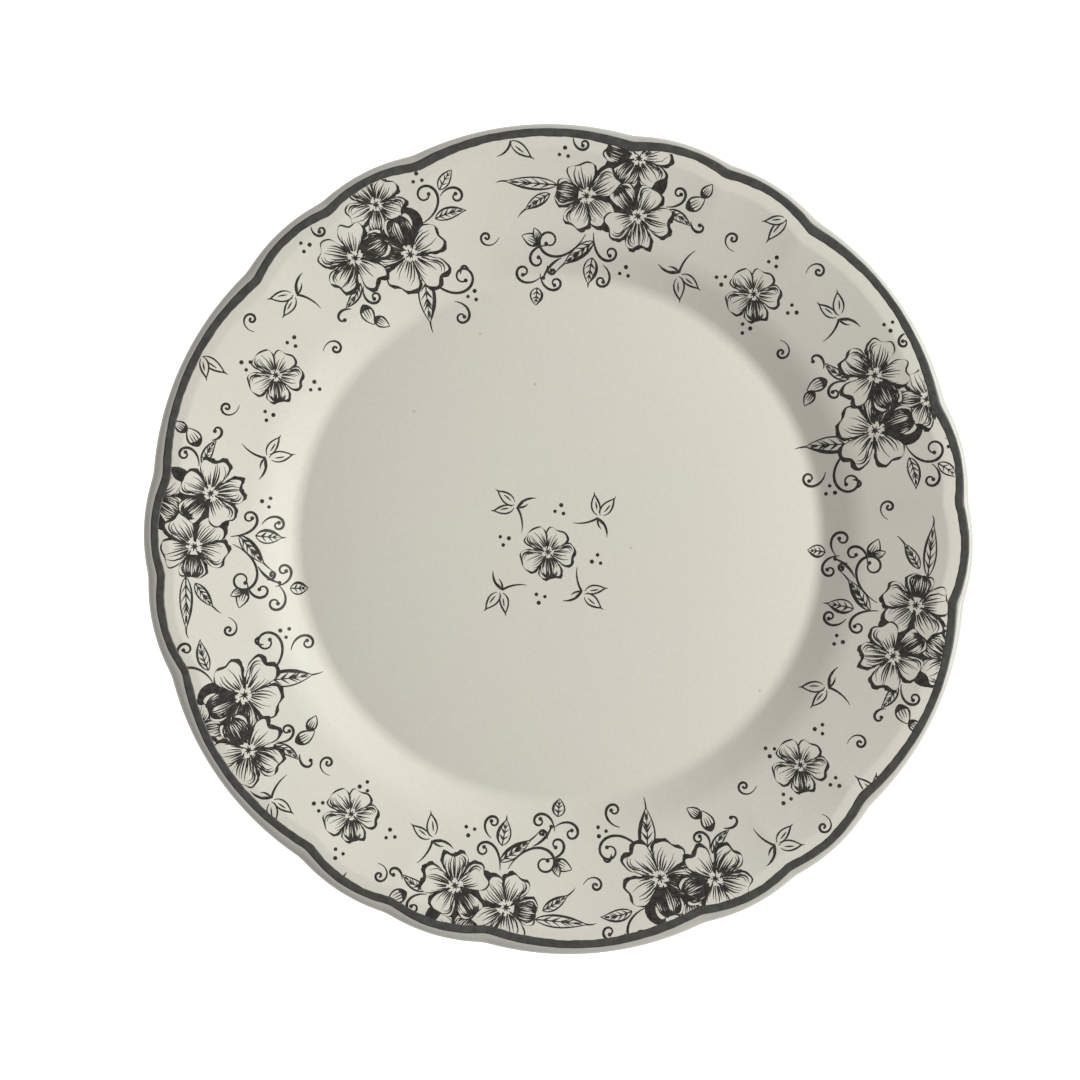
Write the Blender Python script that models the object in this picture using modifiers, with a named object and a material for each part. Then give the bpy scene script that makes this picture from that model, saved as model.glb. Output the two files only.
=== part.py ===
"""A china dinner plate with a scalloped rim, a sunk well and a turned foot ring.

The plate is one fired piece of clay. Three things are fired onto it: a painted line round the rim,
a clear glaze over everything that shows, and a second patch of glaze inside the foot ring. The
contact face of the foot stays bare. Every section is turned about +Z, then its rim is scalloped.
The plate stands on z = 0, and +X runs through a shallow notch of the rim.
"""

import math

import bmesh
import bpy

# The clay, in metres and degrees.
PLATE_RADIUS = 0.135  # centre to the crest of a large lobe
WALL = 0.0043  # thickness of floor, verge and flange, glaze included
FOOT_HEIGHT = 0.0027  # table to the clay's underside beside the foot
FLOOR_DOME = 0.0030  # how far the middle of the floor stands above its edge
DOME_POWER = 3  # the dome is flat in the middle and steepens towards the verge
WELL_RADIUS = 0.0858  # where the lines of floor and verge meet
WELL_DEPTH = 0.0056  # floor's edge up to where verge and flange meet
VERGE_SLOPE = 25.0
FLANGE_SLOPE = 13.5
RIM_SLOPE = 2.0  # the nearly level border that carries the painted line
RIM_MARGIN = 0.0027  # flange's end to the painted line
WELL_FILLET = 0.0110
SHOULDER_FILLET = 0.0100
RIM_FILLET = 0.0070
BACK_FILLET = 0.0024  # under the shoulder and under the rim
LIP_FLAT = 0.0005  # upright middle of the lip, between its two roundings

# The foot ring.
FOOT_SET_IN = 0.0068  # well radius to the middle of the contact face
FOOT_WIDTH = 0.0036  # across the contact face, edge roundings included
FOOT_TAPER = 14.0  # lean of each wall
FOOT_EDGE = 0.0007
FOOT_ROOT = 0.0012

# What is fired onto the clay. Real layers are fused: LAYER_GAP keeps their solids apart here.
GLAZE = 0.0003
LAYER_GAP = 0.0003
GLAZE_STOP = 0.0011  # height above the table where the glaze ends on the foot
LINE_INSET = 0.0027  # plate's edge to the painted line
LINE_WIDTH = 0.0026
LINE_DEPTH = 0.0003

# The scalloped rim: each sector has two small lobes beside a shallow notch, then a large lobe.
SECTORS = 6
SMALL_CREST = 6.4  # angle from the shallow notch to a small lobe's crest
DEEP_NOTCH = 14.1  # angle from the shallow notch to the deep one
SMALL_SET_BACK = 0.00025  # small crest inside the large one
SMALL_FALL = 0.00105  # small crest down to the shallow notch
LARGE_FALL = 0.00185  # large crest down to the deep notch
NOTCH_ROUNDING = 0.00012
LINE_SHARE = 1.5  # the painted line is scalloped this much more deeply than the lip

# How finely curves are divided.
TURN_STEPS = 72
FILLET_STEPS = 2
LIP_STEPS = 3
DOME_STEPS = 4
MERGE = 0.00001
SHARP_ANGLE = 40.0

FLOOR_HEIGHT = FOOT_HEIGHT + WALL  # the floor's edge
FOOT_RADIUS = WELL_RADIUS - FOOT_SET_IN
LINE_OUTER = PLATE_RADIUS - LINE_INSET
LINE_INNER = LINE_OUTER - LINE_WIDTH
UNDER_GLAZE = GLAZE + LAYER_GAP  # skin to clay


def clear_scene():
    for obj in list(bpy.data.objects):
        bpy.data.objects.remove(obj)


def material(name, colour, roughness, alpha=1.0):
    made = bpy.data.materials.new(name)
    made.use_nodes = True
    shader = made.node_tree.nodes["Principled BSDF"]
    shader.inputs["Base Color"].default_value = (*colour, 1.0)
    shader.inputs["Roughness"].default_value = roughness
    shader.inputs["Metallic"].default_value = 0.0
    shader.inputs["Alpha"].default_value = alpha
    made.diffuse_color = (*colour, alpha)
    return made


def tangent(degrees):
    return math.tan(math.radians(degrees))


# Sections: points are (distance from the axis, height), and run from the top of the axis round
# the outside to the bottom, so the clay is always on the right-hand side.


def normals(points):
    """The outward direction at each point, stretched so that an offset keeps its walls parallel."""
    found = []
    for i in range(len(points)):
        sides = []
        for a, b in ((i - 1, i), (i, i + 1)):
            if a >= 0 and b < len(points):
                dr = points[b][0] - points[a][0]
                dz = points[b][1] - points[a][1]
                length = math.hypot(dr, dz)
                sides.append((-dz / length, dr / length))
        mean_r = sum(side[0] for side in sides)
        mean_z = sum(side[1] for side in sides)
        stretch = len(sides) / (mean_r**2 + mean_z**2)
        found.append((mean_r * stretch, mean_z * stretch))
    return found


def inset(points, depth):
    """The points moved into the wall by depth. Points on the axis stay on it."""
    moved = []
    for (r, z), (out_r, out_z) in zip(points, normals(points)):
        moved.append((r - out_r * depth if r > 0 else 0.0, z - out_z * depth))
    return moved


def fillets(start, corners, end, steps):
    """The arcs that round the corners (r, z, radius) of a path from start to end."""
    path = [start, *corners, end]
    arcs = []
    for i, (r, z, radius) in enumerate(corners, start=1):
        before = math.atan2(path[i - 1][1] - z, path[i - 1][0] - r)
        after = math.atan2(path[i + 1][1] - z, path[i + 1][0] - r)
        opening = math.remainder(after - before, math.tau) / 2
        middle = before + opening
        reach = radius / abs(math.sin(opening))
        centre_r = r + reach * math.cos(middle)
        centre_z = z + reach * math.sin(middle)
        half_arc = math.copysign(math.pi / 2, opening) - opening
        for k in range(steps + 1):
            turn = middle + math.pi + half_arc * (1 - 2 * k / steps)
            arcs.append((centre_r + radius * math.cos(turn), centre_z + radius * math.sin(turn)))
    return arcs


def dome(r):
    return FLOOR_DOME * (1 - (r / WELL_RADIUS) ** DOME_POWER)


def dome_points(edge_height):
    """The middle of the floor, or of its underside, from the axis outwards."""
    radii = [WELL_RADIUS * k / DOME_STEPS for k in range(DOME_STEPS)]
    return [(r, edge_height + dome(r)) for r in radii]


def foot_wall(side, height, depth=0.0):
    """The foot's outer (side 1) or inner (side -1) wall at this height, depth under its skin."""
    taper = math.radians(FOOT_TAPER)
    half = FOOT_WIDTH / 2 + height * math.tan(taper) - depth / math.cos(taper)
    return (FOOT_RADIUS + side * half, height)


def face_corners():
    """Where floor and verge meet, then verge and flange, then flange and rim, then the lip."""
    well = (WELL_RADIUS, FLOOR_HEIGHT)
    shoulder_r = WELL_RADIUS + WELL_DEPTH / tangent(VERGE_SLOPE)
    shoulder = (shoulder_r, FLOOR_HEIGHT + WELL_DEPTH)
    rim_r = LINE_INNER - RIM_MARGIN
    rim = (rim_r, shoulder[1] + (rim_r - shoulder_r) * tangent(FLANGE_SLOPE))
    lip = (PLATE_RADIUS, rim[1] + (PLATE_RADIUS - rim_r) * tangent(RIM_SLOPE))
    return well, shoulder, rim, lip


def on_rim(r):
    rim = face_corners()[2]
    return (r, rim[1] + (r - rim[0]) * tangent(RIM_SLOPE))


def skin():
    """The plate's outer surface as a half section, in named stretches."""
    well, shoulder, rim, lip = face_corners()
    floor = dome_points(FLOOR_HEIGHT)
    groove_start = on_rim(LINE_INNER - LAYER_GAP)
    groove_end = on_rim(LINE_OUTER + LAYER_GAP)
    bends = [(*well, WELL_FILLET), (*shoulder, SHOULDER_FILLET), (*rim, RIM_FILLET)]
    face = floor + fillets(floor[-1], bends, groove_start, FILLET_STEPS) + [groove_start]

    # The back runs parallel to the face, one wall below it.
    _, under_well, under_shoulder, under_rim, under_lip = inset([floor[0], *face_corners()], WALL)
    half_edge = (lip[1] - under_lip[1] - LIP_FLAT) / 2
    lip_rounding = min(half_edge, LINE_INSET - 2 * LAYER_GAP)  # it ends clear of the line's groove
    lip_corners = [(*lip, lip_rounding), (PLATE_RADIUS, under_lip[1], lip_rounding)]
    edge = [groove_end] + fillets(groove_end, lip_corners, under_rim, LIP_STEPS)

    stop_outside = foot_wall(1, GLAZE_STOP)
    back_bends = [
        (*under_rim, BACK_FILLET),
        (*under_shoulder, BACK_FILLET),
        (*under_well, WELL_FILLET),
        (*foot_wall(1, FOOT_HEIGHT), FOOT_ROOT),
    ]
    back = fillets(edge[-1], back_bends, stop_outside, FILLET_STEPS) + [stop_outside]

    stop_inside = foot_wall(-1, GLAZE_STOP)
    foot_edges = [(*foot_wall(1, 0), FOOT_EDGE), (*foot_wall(-1, 0), FOOT_EDGE)]
    foot = fillets(stop_outside, foot_edges, stop_inside, FILLET_STEPS)

    underside = dome_points(FOOT_HEIGHT)
    root_r = foot_wall(-1, FOOT_HEIGHT)[0]
    root = [(root_r, FOOT_HEIGHT + dome(root_r), FOOT_ROOT)]
    arc = fillets(stop_inside, root, underside[-1], FILLET_STEPS)
    recess = [stop_inside] + arc + underside[::-1]
    line = [on_rim(LINE_INNER), on_rim(LINE_OUTER)]
    return {"face": face, "line": line, "edge": edge, "back": back, "foot": foot, "recess": recess}


def glazed_stretch(stretches):
    return stretches["face"] + stretches["line"] + stretches["edge"] + stretches["back"]


def body_section(stretches):
    """The clay: under the glaze everywhere but on the foot's bare tip, with the line's groove."""
    glazed = glazed_stretch(stretches)
    clay = inset(glazed, UNDER_GLAZE)
    groove = inset(glazed, UNDER_GLAZE + LINE_DEPTH + LAYER_GAP)
    start = len(stretches["face"]) - 1
    end = start + len(stretches["line"]) + 1
    top = clay[: start + 1] + groove[start : end + 1] + clay[end:-1]
    bare = GLAZE_STOP - LAYER_GAP
    outer_ledge = [foot_wall(1, bare, UNDER_GLAZE), foot_wall(1, bare)]
    inner_ledge = [foot_wall(-1, bare), foot_wall(-1, bare, UNDER_GLAZE)]
    recess = inset(stretches["recess"], UNDER_GLAZE)[1:]
    return top + outer_ledge + stretches["foot"] + inner_ledge + recess


def coat_section(stretches):
    """Glaze over the face, round the lip and down the back to its stop on the foot."""
    outside = glazed_stretch(stretches)
    return outside + inset(outside, GLAZE)[::-1]


def recess_section(stretches):
    """The patch of glaze inside the foot ring."""
    outside = stretches["recess"]
    return inset(outside, GLAZE)[::-1] + outside


def line_section():
    """The painted line: a thin strip that lies in the clay's groove, under the glaze."""
    ends = [on_rim(LINE_INNER), on_rim(LINE_OUTER)]
    return inset(ends, UNDER_GLAZE) + inset(ends, UNDER_GLAZE + LINE_DEPTH)[::-1]


# The scalloped rim.


def edge_drop(angle):
    """How far the edge lies inside the crest circle at this angle from +X, in radians."""
    sector = 360.0 / SECTORS
    turn = abs(math.remainder(math.degrees(angle), sector))
    from_large_crest = (sector / 2 - turn) / (sector / 2 - DEEP_NOTCH)
    lobes = [LARGE_FALL * from_large_crest**2]
    for side in (-1, 1):
        from_small_crest = (turn - side * SMALL_CREST) / SMALL_CREST
        lobes.append(SMALL_SET_BACK + SMALL_FALL * from_small_crest**2)
    # The edge follows the outermost lobe, and the logarithm rounds the notch between two.
    nearest = min(lobes)
    total = sum(math.exp((nearest - drop) / NOTCH_ROUNDING) for drop in lobes)
    return max(0.0, nearest - NOTCH_ROUNDING * math.log(total))


def edge_share(r):
    """How much of the drop a point takes: none at the shoulder, most at the painted line."""
    if r >= LINE_OUTER:
        return LINE_SHARE + (1 - LINE_SHARE) * (r - LINE_OUTER) / LINE_INSET
    shoulder_r = face_corners()[1][0]
    t = max(0.0, (r - shoulder_r) / (LINE_OUTER - shoulder_r))
    return LINE_SHARE * t * t * (3 - 2 * t)


def scallop(mesh):
    for vertex in mesh.vertices:
        r = math.hypot(vertex.co.x, vertex.co.y)
        share = edge_share(r)
        if share > 0:
            angle = math.atan2(vertex.co.y, vertex.co.x)
            scale = 1 - edge_drop(angle) * share / r
            vertex.co.x *= scale
            vertex.co.y *= scale


def turned(name, section, closed):
    """The section turned about +Z with a Screw modifier, as a mesh."""
    outline = bpy.data.meshes.new(name + "_section")
    edges = [(i, i + 1) for i in range(len(section) - 1)]
    if closed:
        edges.append((len(section) - 1, 0))
    outline.from_pydata([(r, 0, z) for r, z in section], edges, [])
    source = bpy.data.objects.new(name + "_section", outline)
    bpy.context.scene.collection.objects.link(source)
    screw = source.modifiers.new("turn", "SCREW")
    screw.axis = "Z"
    screw.angle = math.tau
    screw.steps = TURN_STEPS
    screw.render_steps = TURN_STEPS
    screw.use_merge_vertices = True
    screw.merge_threshold = MERGE
    graph = bpy.context.evaluated_depsgraph_get()
    mesh = bpy.data.meshes.new_from_object(source.evaluated_get(graph))
    bpy.data.objects.remove(source)
    bpy.data.meshes.remove(outline)
    mesh.name = name
    return mesh


def add_layer(name, section, finish, collection, closed=False):
    mesh = turned(name, section, closed)
    scallop(mesh)
    edit = bmesh.new()
    edit.from_mesh(mesh)
    bmesh.ops.triangulate(edit, faces=edit.faces)
    edit.to_mesh(mesh)
    edit.free()
    mesh.shade_smooth()
    mesh.set_sharp_from_angle(angle=math.radians(SHARP_ANGLE))
    mesh.materials.append(finish)
    collection.objects.link(bpy.data.objects.new(name, mesh))


def main():
    clear_scene()
    plate = bpy.data.collections.new("china_dinner_plate")
    bpy.context.scene.collection.children.link(plate)
    stretches = skin()
    clay = material("bare_china", (0.66, 0.60, 0.50), 0.75)
    glaze = material("clear_glaze", (0.62, 0.59, 0.50), 0.10, alpha=0.30)
    pigment = material("rim_pigment", (0.055, 0.052, 0.050), 0.45)
    add_layer("china_body", body_section(stretches), clay, plate)
    add_layer("rim_line", line_section(), pigment, plate, closed=True)
    add_layer("glaze_coat", coat_section(stretches), glaze, plate)
    add_layer("foot_recess_glaze", recess_section(stretches), glaze, plate)


main()
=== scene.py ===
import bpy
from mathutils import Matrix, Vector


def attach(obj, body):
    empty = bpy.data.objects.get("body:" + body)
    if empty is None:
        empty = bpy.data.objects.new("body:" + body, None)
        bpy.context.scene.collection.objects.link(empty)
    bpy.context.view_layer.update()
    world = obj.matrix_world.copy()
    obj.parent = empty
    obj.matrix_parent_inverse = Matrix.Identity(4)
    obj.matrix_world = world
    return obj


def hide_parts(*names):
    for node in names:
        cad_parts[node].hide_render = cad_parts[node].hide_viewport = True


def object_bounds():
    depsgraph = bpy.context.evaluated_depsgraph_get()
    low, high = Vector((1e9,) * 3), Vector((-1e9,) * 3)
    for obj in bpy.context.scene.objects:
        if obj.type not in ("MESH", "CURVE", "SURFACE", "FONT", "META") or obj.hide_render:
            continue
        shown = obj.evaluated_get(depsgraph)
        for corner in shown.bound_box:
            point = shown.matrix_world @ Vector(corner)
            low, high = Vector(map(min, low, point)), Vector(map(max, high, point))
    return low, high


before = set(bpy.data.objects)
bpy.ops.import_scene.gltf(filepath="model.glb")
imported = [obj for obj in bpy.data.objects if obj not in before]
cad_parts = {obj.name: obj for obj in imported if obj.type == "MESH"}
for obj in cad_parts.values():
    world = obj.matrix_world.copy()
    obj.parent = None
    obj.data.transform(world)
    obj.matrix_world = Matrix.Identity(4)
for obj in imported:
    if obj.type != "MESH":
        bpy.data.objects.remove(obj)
CAD_BOX = [list(corner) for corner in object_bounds()]

# The looks of a china dinner plate: the glazed body as one fine turned surface with a scalloped
# rim, a painted line round the rim, and a floral print in dark underglaze ink. Lengths are in
# metres, but the print is drawn in millimetres on a plane of complex numbers.

import math
import random

import bpy
import numpy as np
from mathutils import Vector
from mathutils.geometry import delaunay_2d_cdt

MM = 0.001

# ---------------------------------------------------------------- sizes

# As in the CAD. Slopes are in degrees, and so are the lobes' places in a sector.
PLATE_RADIUS = CAD_BOX[1][1]  # a large lobe's crest lies on +Y
WALL = 0.0043
FOOT_HEIGHT = 0.0027
FLOOR_DOME = 0.0030
DOME_POWER = 3
WELL_RADIUS = 0.0858
WELL_DEPTH = 0.0056
VERGE_SLOPE = 25.0
FLANGE_SLOPE = 13.5
RIM_SLOPE = 2.0
RIM_MARGIN = 0.0027
WELL_FILLET = 0.0110
RIM_FILLET = 0.0070
BACK_FILLET = 0.0024
FOOT_SET_IN = 0.0068
FOOT_WIDTH = 0.0036
FOOT_TAPER = 14.0
FOOT_EDGE = 0.0007
FOOT_ROOT = 0.0012
GLAZE_STOP = 0.0011
LINE_INSET = 0.0027
LINE_WIDTH = 0.0026

SECTORS = 6
SMALL_CREST = 6.4
DEEP_NOTCH = 14.1
SMALL_SET_BACK = 0.00025
SMALL_FALL = 0.00105
LARGE_FALL = 0.00185

FLOOR_HEIGHT = FOOT_HEIGHT + WALL
FOOT_RADIUS = WELL_RADIUS - FOOT_SET_IN
LINE_OUTER = PLATE_RADIUS - LINE_INSET
LINE_INNER = LINE_OUTER - LINE_WIDTH

# How fine the visible surface is.
AROUND = 576
FILLET_STEPS = 8
LIP_STEPS = 9
LONGEST_SPAN = 0.0050
LINE_SPANS = 5  # across the painted line

# Where the visible surface differs from the CAD's.
WELL_BEND = 0.0076  # the well's edge is bent more tightly
SHOULDER_BEND = 0.0350  # and the shoulder more gently
FLOOR_END = 0.0026  # from the well's edge in to where the bend gives way to the domed floor
WELL_SINK = 0.0005  # the floor is this much lower at its edge and higher in its middle
LIP_START = 0.0002  # the lip starts to roll this far outside the line's groove
LIP_SAG = 0.0002  # it is widest this far under the middle of its thickness
LIP_UNDERCUT = 0.0016  # and its underside ends this far in from the edge
NOTCH_ROUNDING = 0.0002  # how much the notches between lobes are blunted
LINE_SHARE = 1.75  # the painted line's lobes are this many times as deep as the edge's
GLAZE_BEAD = 0.00012  # the glaze's rolled end stands this proud of the bare foot

# The painted line: off the plate's middle, nearer the edge than its groove, and unsteady. A wobble
# is (waves round the plate, size, phase).
LINE_SHIFT = complex(0.0004, 0.0003)
LINE_OUTWARD = 0.0008
INNER_WOBBLE = (
    (23, 0.00007, 0.4),
    (61, 0.00006, 2.0),
    (97, 0.00005, 4.1),
    (211, 0.00004, 1.0),
)
OUTER_WOBBLE = (
    (17, 0.00004, 3.0),
    (53, 0.00003, 0.7),
    (131, 0.00002, 5.2),
)

# Ink films: how far they stand out of the glaze and reach into it.
INK_RISE = 0.00004
INK_DEPTH = 0.00004
LINE_RISE = 0.00006
INK_GRID = 1.3  # mm: ink is cut at least this finely, so that it follows the curved surface
INK_SPAN = 1.1  # mm: the longest straight edge of an ink outline

# Linear colours. A glaze drifts between a greener and a pinker tone. The others are ramps of
# (noise, colour), from the dense places to the thin ones or from the stained to the clean.
FACE_GLAZE = ((0.618, 0.588, 0.512), (0.632, 0.584, 0.514))
# The lip's pair is the face's glaze made darker: painted shade on the rolled lip, which falls away
# from the light.
LIP_PAINTED_SHADE = ((0.430, 0.418, 0.372), (0.440, 0.414, 0.374))
IRON_SPECK = (0.42, 0.39, 0.33)
PRINT_INK = ((0.38, (0.017, 0.015, 0.013)), (0.68, (0.050, 0.044, 0.038)))
LINE_PAINT = ((0.35, (0.044, 0.042, 0.038)), (0.70, (0.070, 0.068, 0.062)))
BISCUIT = ((0.35, (0.52, 0.46, 0.37)), (0.65, (0.66, 0.61, 0.52)))

# The view from straight above. Its axes are turned against the plate's.
VIEW_TURN = -5.2  # degrees from the plate's +X to the view's rightward axis
VIEW_SHIFT = complex(-0.0060, -0.0003)  # the view's middle from the plate's, in the view's axes
LENS = 135.0
VIEW_WIDTH = 0.3500  # at the rim's height

# The print's middle from the plate's, in mm. The print is upright in the view.
PRINT_SHIFT = -3.4 - 4.2j

# Lights and floor. Directions are in the view's axes.
WORLD_STRENGTH = 0.53
KEY_TINT = (0.955, 1.0, 0.995)
KEY_AZIMUTH = 10.0
KEY_ELEVATION = 27.0
KEY_DISTANCE = 2.4
KEY_WIDTH = 2.4
KEY_HEIGHT = 1.0
KEY_POWER = 76.0
FLOOR_SIDE = 3.0
FLOOR_DROP = 0.0002  # from the plate's foot down to the floor
FLOOR_GLOW = 0.55


# ---------------------------------------------------------------- the plate's section


def tangent(degrees):
    return math.tan(math.radians(degrees))


def offset(corners, depth):
    """The corners of a path moved to its right by depth, with walls kept parallel."""
    moved = []
    for i in range(len(corners)):
        sides = []
        for a, b in ((i - 1, i), (i, i + 1)):
            if a >= 0 and b < len(corners):
                along = complex(*corners[b]) - complex(*corners[a])
                sides.append(1j * along / abs(along))
        mean = sum(sides)
        out = mean * len(sides) / abs(mean) ** 2
        moved.append((corners[i][0] - out.real * depth, corners[i][1] - out.imag * depth))
    return moved


def fillets(start, corners, end, steps):
    """The arcs that round the corners (r, z, radius) of a path from start to end."""
    path = [start, *corners, end]
    arcs = []
    for i, (r, z, radius) in enumerate(corners, start=1):
        before = math.atan2(path[i - 1][1] - z, path[i - 1][0] - r)
        after = math.atan2(path[i + 1][1] - z, path[i + 1][0] - r)
        opening = math.remainder(after - before, math.tau) / 2
        middle = before + opening
        reach = radius / abs(math.sin(opening))
        centre_r = r + reach * math.cos(middle)
        centre_z = z + reach * math.sin(middle)
        half_arc = math.copysign(math.pi / 2, opening) - opening
        for k in range(steps + 1):
            turn = middle + math.pi + half_arc * (1 - 2 * k / steps)
            arcs.append((centre_r + radius * math.cos(turn), centre_z + radius * math.sin(turn)))
    return arcs


def dome(r, rise=FLOOR_DOME):
    return rise * (1 - (r / WELL_RADIUS) ** DOME_POWER)


def dome_points(edge_height, outer, rise=FLOOR_DOME):
    count = round(outer / LONGEST_SPAN)
    radii = [outer * k / count for k in range(count + 1)]
    return [(r, edge_height + dome(r, rise)) for r in radii]


def foot_wall(side, height, proud=0.0):
    half = FOOT_WIDTH / 2 + height * tangent(FOOT_TAPER) + proud
    return (FOOT_RADIUS + side * half, height)


def spaced(path):
    """The path with its long spans divided."""
    points = [path[0]]
    for (r0, z0), (r1, z1) in zip(path, path[1:]):
        count = max(1, math.ceil(math.hypot(r1 - r0, z1 - z0) / LONGEST_SPAN))
        for k in range(1, count + 1):
            points.append((r0 + (r1 - r0) * k / count, z0 + (z1 - z0) * k / count))
    return points


def face_corners(sink=0.0):
    """Where floor and verge meet, then verge and flange, then flange and rim, then the lip. sink
    lowers the first."""
    well = (WELL_RADIUS, FLOOR_HEIGHT - sink)
    shoulder_r = WELL_RADIUS + WELL_DEPTH / tangent(VERGE_SLOPE)
    shoulder = (shoulder_r, FLOOR_HEIGHT + WELL_DEPTH)
    rim_r = LINE_INNER - RIM_MARGIN
    rim = (rim_r, shoulder[1] + (rim_r - shoulder_r) * tangent(FLANGE_SLOPE))
    lip = (PLATE_RADIUS, rim[1] + (PLATE_RADIUS - rim_r) * tangent(RIM_SLOPE))
    return well, shoulder, rim, lip


def rolled_lip(rim, lip, under_lip):
    """The lip falls away from the painted line in a quarter ellipse, then turns under in another."""
    start_r = LINE_OUTER + LIP_START
    start = (start_r, rim[1] + (start_r - rim[0]) * tangent(RIM_SLOPE))
    widest = (start[1] + under_lip[1]) / 2 - LIP_SAG
    points = []
    for k in range(LIP_STEPS + 1):
        turn = math.pi / 2 * k / LIP_STEPS
        out = start[0] + (PLATE_RADIUS - start[0]) * math.sin(turn)
        points.append((out, widest + (start[1] - widest) * math.cos(turn)))
    for k in range(1, LIP_STEPS + 1):
        turn = math.pi / 2 * k / LIP_STEPS
        back = PLATE_RADIUS - LIP_UNDERCUT * (1 - math.cos(turn))
        points.append((back, widest - (widest - under_lip[1]) * math.sin(turn)))
    return points


def section():
    """The skin from the axis to the axis again: the glazed face, lip and back, then the foot's bare
    tip, then the glazed recess inside the foot."""
    well, shoulder, rim, lip = face_corners(WELL_SINK)
    floor_end = WELL_RADIUS - FLOOR_END
    floor = dome_points(FLOOR_HEIGHT - WELL_SINK, floor_end, FLOOR_DOME + 2 * WELL_SINK)
    bends = [(*well, WELL_BEND), (*shoulder, SHOULDER_BEND), (*rim, RIM_FILLET)]
    corners_above = [(0, FLOOR_HEIGHT), *face_corners()]
    _, under_well, under_shoulder, under_rim, under_lip = offset(corners_above, WALL)
    face = floor + fillets(floor[-1], bends, lip, FILLET_STEPS)
    edge = rolled_lip(rim, lip, under_lip)
    stop_outside = foot_wall(1, GLAZE_STOP, GLAZE_BEAD)
    back_bends = [
        (*under_rim, BACK_FILLET),
        (*under_shoulder, BACK_FILLET),
        (*under_well, WELL_FILLET),
        (*foot_wall(1, FOOT_HEIGHT), FOOT_ROOT),
    ]
    back = fillets(edge[-1], back_bends, stop_outside, FILLET_STEPS) + [stop_outside]
    bare = [foot_wall(1, GLAZE_STOP - GLAZE_BEAD)]
    foot_edges = [(*foot_wall(1, 0), FOOT_EDGE), (*foot_wall(-1, 0), FOOT_EDGE)]
    bare += fillets(bare[0], foot_edges, foot_wall(-1, GLAZE_STOP), LIP_STEPS)
    bare += [foot_wall(-1, GLAZE_STOP - GLAZE_BEAD)]
    stop_inside = foot_wall(-1, GLAZE_STOP, GLAZE_BEAD)
    root_r = foot_wall(-1, FOOT_HEIGHT)[0]
    root = [(root_r, FOOT_HEIGHT + dome(root_r), FOOT_ROOT)]
    underside = dome_points(FOOT_HEIGHT, root_r - 2 * FOOT_ROOT)
    recess = [stop_inside] + fillets(stop_inside, root, underside[-1], FILLET_STEPS)
    recess += underside[::-1]
    return spaced(face + edge + back), spaced(bare), spaced(recess)


# ---------------------------------------------------------------- the scalloped rim


def edge_drop(angle):
    """How far the edge lies inside the crest circle at these angles from +X, in radians."""
    sector = 360.0 / SECTORS
    turn = np.abs(np.remainder(np.degrees(angle) + sector / 2, sector) - sector / 2)
    lobes = [LARGE_FALL * ((sector / 2 - turn) / (sector / 2 - DEEP_NOTCH)) ** 2]
    for side in (-1, 1):
        lobes.append(SMALL_SET_BACK + SMALL_FALL * ((turn - side * SMALL_CREST) / SMALL_CREST) ** 2)
    nearest = np.minimum.reduce(lobes)
    total = sum(np.exp((nearest - drop) / NOTCH_ROUNDING) for drop in lobes)
    return np.maximum(0.0, nearest - NOTCH_ROUNDING * np.log(total))


def edge_share(r):
    """How much of the drop a point takes: none at the shoulder, most at the painted line."""
    shoulder_r = face_corners()[1][0]
    t = np.clip((r - shoulder_r) / (LINE_OUTER - shoulder_r), 0.0, 1.0)
    outside = LINE_SHARE + (1 - LINE_SHARE) * (r - LINE_OUTER) / LINE_INSET
    return np.where(r >= LINE_OUTER, outside, LINE_SHARE * t * t * (3 - 2 * t))


def scalloped(r, angle):
    """The radius at which a point of the plain turned plate lies on the scalloped one."""
    return r - edge_drop(angle) * edge_share(r)


def unscalloped(r, angle):
    """The other way round, by repeated correction."""
    plain = r
    for _ in range(8):
        plain = r + edge_drop(angle) * edge_share(plain)
    return plain


def face_height():
    """The plate's upper surface as two lists to interpolate in: plain radius and height."""
    glazed = section()[0]
    crest = max(range(len(glazed)), key=lambda i: glazed[i][1])
    radii = [r for r, _ in glazed[: crest + 1]]
    heights = [z for _, z in glazed[: crest + 1]]
    return radii, heights


# ---------------------------------------------------------------- meshes


def new_piece(name, vertices, faces, materials, slots=None):
    mesh = bpy.data.meshes.new(name)
    mesh.from_pydata(vertices, [], faces)
    for finish in materials:
        mesh.materials.append(finish)
    if slots is not None:
        mesh.polygons.foreach_set("material_index", slots)
    mesh.shade_smooth()
    mesh.validate()
    piece = bpy.data.objects.new(name, mesh)
    bpy.context.scene.collection.objects.link(piece)
    return piece


# The turned plate's materials, in order.
GLAZED = 0
BARE_TIP = 1
# Painted shade: the rolled lip wears a darker copy of the glaze.
PAINTED_SHADE_LIP = 2


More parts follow.
